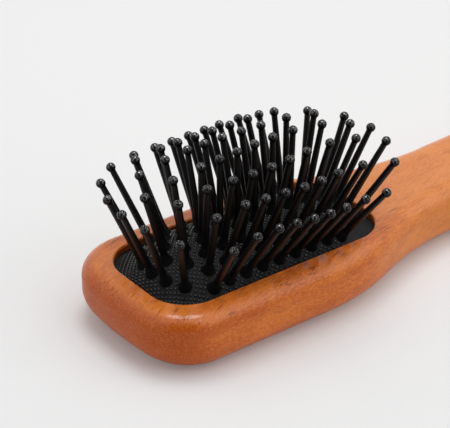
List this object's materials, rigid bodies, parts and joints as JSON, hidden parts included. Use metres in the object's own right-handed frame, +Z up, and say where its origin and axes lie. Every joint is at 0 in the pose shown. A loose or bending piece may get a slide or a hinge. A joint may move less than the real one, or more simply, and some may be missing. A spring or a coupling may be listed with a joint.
{
  "type": "paddle brush",
  "caption": "Wooden paddle hair brush with an air-backed rubber cushion and ball-tipped nylon pins that lean and sink with it.",
  "frame": {"origin": "middle of the head's flat back, under the middle of the cushion pocket", "axes": "+X along the brush to the butt of the handle, +Z up to the pin tips"},
  "size_m": [0.204, 0.0556, 0.0445],
  "materials": {
    "stained_beech": "satin lacquer over stained beech",
    "black_rubber": "matt moulded rubber with a fine dot grain",
    "black_nylon": "smooth moulded nylon"
  },
  "bodies": {
    "wooden_body": {"wooden_body": "stained_beech"},
    "cushion": {"rubber_cushion": "black_rubber"},
    "pins_row_1_tip": {"pins_row_1_tip": "black_nylon"},
    "pins_row_1_middle": {"pins_row_1_middle": "black_nylon"},
    "pins_row_1_handle": {"pins_row_1_handle": "black_nylon"},
    "pins_row_2_tip": {"pins_row_2_tip": "black_nylon"},
    "pins_row_2_middle": {"pins_row_2_middle": "black_nylon"},
    "pins_row_2_handle": {"pins_row_2_handle": "black_nylon"},
    "pins_row_3_tip": {"pins_row_3_tip": "black_nylon"},
    "pins_row_3_middle": {"pins_row_3_middle": "black_nylon"},
    "pins_row_3_handle": {"pins_row_3_handle": "black_nylon"},
    "pins_row_4_tip": {"pins_row_4_tip": "black_nylon"},
    "pins_row_4_middle": {"pins_row_4_middle": "black_nylon"},
    "pins_row_4_handle": {"pins_row_4_handle": "black_nylon"},
    "pins_row_5_tip": {"pins_row_5_tip": "black_nylon"},
    "pins_row_5_middle": {"pins_row_5_middle": "black_nylon"},
    "pins_row_5_handle": {"pins_row_5_handle": "black_nylon"},
    "pins_row_6_tip": {"pins_row_6_tip": "black_nylon"},
    "pins_row_6_middle": {"pins_row_6_middle": "black_nylon"},
    "pins_row_6_handle": {"pins_row_6_handle": "black_nylon"},
    "pins_row_7_tip": {"pins_row_7_tip": "black_nylon"},
    "pins_row_7_middle": {"pins_row_7_middle": "black_nylon"},
    "pins_row_7_handle": {"pins_row_7_handle": "black_nylon"}
  },
  "joints": [
    {"name": "cushion_press", "type": "slide", "parent": "wooden_body", "child": "cushion", "axis": [0, 0, 1], "range_m": [-0.0025, 0], "stiffness_N_per_m": 3000, "deforming": ["rubber_cushion"]},
    {"name": "row_1_tip_lean", "type": "hinge", "parent": "cushion", "child": "pins_row_1_tip", "pos_m": [-0.01561, -0.01378, 0.01722], "axis": [0.9964, 0.0003, 0.0843], "range_deg": [-6, 6], "stiffness_Nm_per_rad": 0.05},
    {"name": "row_1_middle_lean", "type": "hinge", "parent": "cushion", "child": "pins_row_1_middle", "pos_m": [0.00001, -0.0138, 0.01752], "axis": [1, -0.0016, -0.0012], "range_deg": [-6, 6], "stiffness_Nm_per_rad": 0.05},
    {"name": "row_1_handle_lean", "type": "hinge", "parent": "cushion", "child": "pins_row_1_handle", "pos_m": [0.01561, -0.0138, 0.01721], "axis": [0.9965, 0.0014, -0.0833], "range_deg": [-6, 6], "stiffness_Nm_per_rad": 0.05},
    {"name": "row_2_tip_lean", "type": "hinge", "parent": "cushion", "child": "pins_row_2_tip", "pos_m": [-0.01977, -0.0095, 0.01881], "axis": [0.9792, 0.0002, 0.2031], "range_deg": [-6, 6], "stiffness_Nm_per_rad": 0.05},
    {"name": "row_2_middle_lean", "type": "hinge", "parent": "cushion", "child": "pins_row_2_middle", "pos_m": [0.00001, -0.00952, 0.01986], "axis": [1, -0.0013, -0.0006], "range_deg": [-6, 6], "stiffness_Nm_per_rad": 0.05},
    {"name": "row_2_handle_lean", "type": "hinge", "parent": "cushion", "child": "pins_row_2_handle", "pos_m": [0.01978, -0.00951, 0.01881], "axis": [0.9793, 0.0016, -0.2025], "range_deg": [-6, 6], "stiffness_Nm_per_rad": 0.05},
    {"name": "row_3_tip_lean", "type": "hinge", "parent": "cushion", "child": "pins_row_3_tip", "pos_m": [-0.01988, -0.00485, 0.02004], "axis": [0.9792, -0.0013, 0.2027], "range_deg": [-6, 6], "stiffness_Nm_per_rad": 0.05},
    {"name": "row_3_middle_lean", "type": "hinge", "parent": "cushion", "child": "pins_row_3_middle", "pos_m": [0, -0.00487, 0.02131], "axis": [1, 0.0004, 0.0001], "range_deg": [-6, 6], "stiffness_Nm_per_rad": 0.05},
    {"name": "row_3_handle_lean", "type": "hinge", "parent": "cushion", "child": "pins_row_3_handle", "pos_m": [0.01989, -0.00485, 0.02003], "axis": [0.9791, 0.0007, -0.2033], "range_deg": [-6, 6], "stiffness_Nm_per_rad": 0.05},
    {"name": "row_4_tip_lean", "type": "hinge", "parent": "cushion", "child": "pins_row_4_tip", "pos_m": [-0.0223, -0.00002, 0.0201], "axis": [0.9687, -0.0013, 0.2482], "range_deg": [-6, 6], "stiffness_Nm_per_rad": 0.05},
    {"name": "row_4_middle_lean", "type": "hinge", "parent": "cushion", "child": "pins_row_4_middle", "pos_m": [-0.00001, -0.00001, 0.0218], "axis": [1, 0.0016, 0], "range_deg": [-6, 6], "stiffness_Nm_per_rad": 0.05},
    {"name": "row_4_handle_lean", "type": "hinge", "parent": "cushion", "child": "pins_row_4_handle", "pos_m": [0.02232, -0.00001, 0.02009], "axis": [0.9685, -0.0018, -0.2489], "range_deg": [-6, 6], "stiffness_Nm_per_rad": 0.05},
    {"name": "row_5_tip_lean", "type": "hinge", "parent": "cushion", "child": "pins_row_5_tip", "pos_m": [-0.01987, 0.00483, 0.02004], "axis": [0.9793, 0.0016, 0.2025], "range_deg": [-6, 6], "stiffness_Nm_per_rad": 0.05},
    {"name": "row_5_middle_lean", "type": "hinge", "parent": "cushion", "child": "pins_row_5_middle", "pos_m": [-0.00001, 0.00485, 0.02131], "axis": [1, -0.0011, 0.0002], "range_deg": [-6, 6], "stiffness_Nm_per_rad": 0.05},
    {"name": "row_5_handle_lean", "type": "hinge", "parent": "cushion", "child": "pins_row_5_handle", "pos_m": [0.01989, 0.00483, 0.02004], "axis": [0.9791, -0.0001, -0.2033], "range_deg": [-6, 6], "stiffness_Nm_per_rad": 0.05},
    {"name": "row_6_tip_lean", "type": "hinge", "parent": "cushion", "child": "pins_row_6_tip", "pos_m": [-0.01975, 0.0095, 0.01882], "axis": [0.9794, 0.0011, 0.2021], "range_deg": [-6, 6], "stiffness_Nm_per_rad": 0.05},
    {"name": "row_6_middle_lean", "type": "hinge", "parent": "cushion", "child": "pins_row_6_middle", "pos_m": [-0.00001, 0.00949, 0.01988], "axis": [1, -0.0017, 0.0007], "range_deg": [-6, 6], "stiffness_Nm_per_rad": 0.05},
    {"name": "row_6_handle_lean", "type": "hinge", "parent": "cushion", "child": "pins_row_6_handle", "pos_m": [0.01977, 0.00949, 0.01882], "axis": [0.9791, 0.0013, -0.2034], "range_deg": [-6, 6], "stiffness_Nm_per_rad": 0.05},
    {"name": "row_7_tip_lean", "type": "hinge", "parent": "cushion", "child": "pins_row_7_tip", "pos_m": [-0.01561, 0.01379, 0.01722], "axis": [0.9965, 0.0001, 0.0841], "range_deg": [-6, 6], "stiffness_Nm_per_rad": 0.05},
    {"name": "row_7_middle_lean", "type": "hinge", "parent": "cushion", "child": "pins_row_7_middle", "pos_m": [0.00001, 0.01377, 0.01755], "axis": [1, -0.0016, 0.001], "range_deg": [-6, 6], "stiffness_Nm_per_rad": 0.05},
    {"name": "row_7_handle_lean", "type": "hinge", "parent": "cushion", "child": "pins_row_7_handle", "pos_m": [0.01561, 0.01377, 0.01723], "axis": [0.9964, 0.0016, -0.0853], "range_deg": [-6, 6], "stiffness_Nm_per_rad": 0.05}
  ]
}
